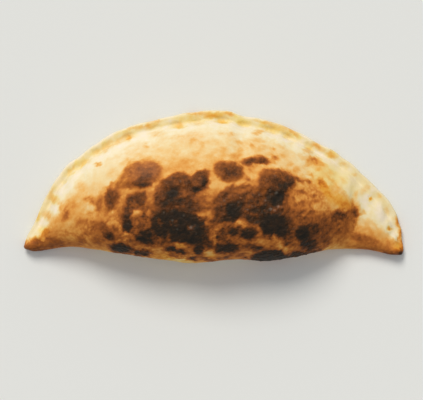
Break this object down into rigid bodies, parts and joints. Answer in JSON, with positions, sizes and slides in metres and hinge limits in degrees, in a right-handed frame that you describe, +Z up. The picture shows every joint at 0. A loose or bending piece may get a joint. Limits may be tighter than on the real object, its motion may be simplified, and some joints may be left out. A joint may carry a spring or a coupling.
{
  "type": "calzone",
  "caption": "Baked calzone: a half-moon of folded dough with a crimped rim, pinched horns and dark scorch marks over its puffed top.",
  "frame": {"origin": "middle of the flat base, under the middle of the bounding box", "axes": "+X along the fold to the right horn, +Y from the fold to the crimped rim, +Z up from the base"},
  "size_m": [0.3086, 0.125, 0.0576],
  "materials": {
    "crust": "matt baked dough, from cream through golden brown to black scorch marks"
  },
  "bodies": {
    "root": {"calzone": "crust"}
  },
  "joints": []
}
